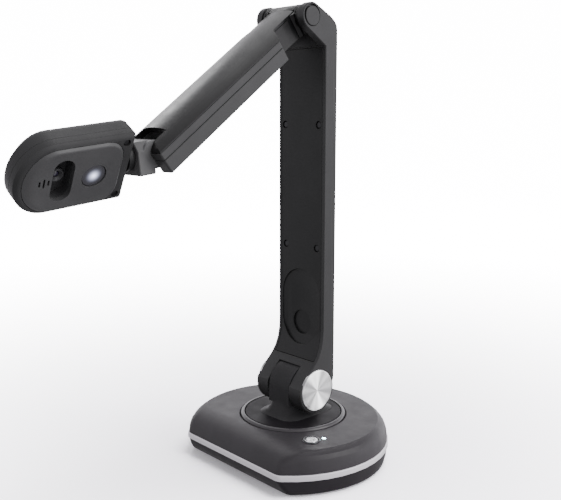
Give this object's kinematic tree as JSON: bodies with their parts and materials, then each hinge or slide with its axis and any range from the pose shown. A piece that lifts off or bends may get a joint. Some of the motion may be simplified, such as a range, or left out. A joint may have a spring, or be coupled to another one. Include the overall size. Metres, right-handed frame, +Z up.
{
  "type": "document camera",
  "caption": "Folding desktop document camera with a weighted D-shaped swivel base, hinged column, folding arm and a tilting, swivelling lens head.",
  "frame": {"origin": "centre of the turntable's axis on the underside of the non-slip pad, on the surface the camera stands on", "axes": "+Z up along the turntable's axis, +X along the hinge pins towards the power button's side, -Y the way the arm and the head reach, square to the base's straight front"},
  "size_m": [0.143, 0.264, 0.3065],
  "materials": {
    "rubber_black": "matt moulded rubber",
    "base_plastic": "fine satin charcoal plastic",
    "silver_trim": "satin silver band",
    "ballast_steel": "plain zinc-coated plate",
    "circuit_board": "green solder mask",
    "steel_parts": "plain machined steel",
    "black_screw": "blackened steel",
    "chrome_bezel": "bright chrome",
    "button_metal": "satin chrome",
    "led_lens": "clear lens, lit cyan-white",
    "white_nylon": "natural nylon",
    "body_plastic": "fine satin charcoal plastic",
    "panel_plastic": "matt near-black plastic",
    "brushed_silver": "radially turned aluminium",
    "neck_plastic": "satin dark grey plastic",
    "lens_glass": "coated lens glass",
    "light_diffuser": "frosted diffuser, lit lavender-white"
  },
  "bodies": {
    "base": {"non_slip_pad": "rubber_black", "base_bottom_cover": "base_plastic", "base_trim_band": "silver_trim", "base_top_cover": "base_plastic", "ballast_plate": "ballast_steel", "main_board": "circuit_board", "usb_socket": "steel_parts", "base_screw_1": "steel_parts", "base_screw_2": "steel_parts", "base_screw_3": "steel_parts", "base_screw_4": "steel_parts", "button_bezel": "chrome_bezel", "power_switch": "rubber_black", "button_board": "circuit_board", "status_led": "led_lens", "swivel_bearing": "white_nylon"},
    "button": {"power_button": "button_metal"},
    "turntable": {"turntable_ring": "base_plastic", "turntable_disc": "base_plastic", "swivel_retainer": "steel_parts", "pedestal": "base_plastic", "pedestal_screw_1": "steel_parts", "pedestal_screw_2": "steel_parts"},
    "column": {"column_shell": "body_plastic", "column_front_cover": "panel_plastic", "column_screw_1": "black_screw", "column_screw_2": "black_screw", "column_screw_3": "black_screw", "column_screw_4": "black_screw", "column_spine": "steel_parts", "lower_hinge_shaft": "steel_parts", "hinge_cap_right": "brushed_silver", "friction_washer_right": "white_nylon", "elbow_cap_right": "body_plastic", "hinge_cap_left": "brushed_silver", "friction_washer_left": "white_nylon", "elbow_cap_left": "body_plastic", "elbow_shaft": "steel_parts"},
    "arm": {"arm_inner_shell": "body_plastic", "arm_frame": "body_plastic", "arm_cover": "body_plastic", "arm_knuckle": "body_plastic", "arm_spine": "steel_parts", "tilt_pin": "steel_parts"},
    "neck": {"neck_block": "neck_plastic", "swivel_collar": "panel_plastic", "swivel_tube": "steel_parts"},
    "head": {"head_housing": "body_plastic", "head_bezel": "body_plastic", "head_screw_1": "black_screw", "head_screw_2": "black_screw", "lens_panel": "panel_plastic", "lens_well": "rubber_black", "lens_barrel": "panel_plastic", "lens_glass": "lens_glass", "sensor_board": "circuit_board", "light_window": "light_diffuser", "light_board": "circuit_board", "light_chip": "light_diffuser", "microphone": "steel_parts"}
  },
  "joints": [
    {"name": "base_swivel", "type": "hinge", "parent": "base", "child": "turntable", "pos_m": [0, 0, 0.0284], "axis": [0, 0, 1], "range_deg": [-150, 150]},
    {"name": "lower_tilt", "type": "hinge", "parent": "turntable", "child": "column", "pos_m": [0, 0.0015, 0.0496], "axis": [1, 0, 0], "range_deg": [-15, 40]},
    {"name": "elbow", "type": "hinge", "parent": "column", "child": "arm", "pos_m": [0, -0.0049, 0.2979], "axis": [-1, 0, 0], "range_deg": [-53.6, 120]},
    {"name": "head_tilt", "type": "hinge", "parent": "arm", "child": "neck", "pos_m": [0, -0.11775, 0.2147], "axis": [-1, 0, 0], "range_deg": [-30, 60]},
    {"name": "head_swivel", "type": "hinge", "parent": "neck", "child": "head", "pos_m": [0, -0.11775, 0.2147], "axis": [0, -0.9938, -0.1115], "range_deg": [-54.8, 125.2]},
    {"name": "power_press", "type": "slide", "parent": "base", "child": "button", "axis": [0, 0, -1], "range_m": [0, 0.0012], "stiffness_N_per_m": 300}
  ]
}
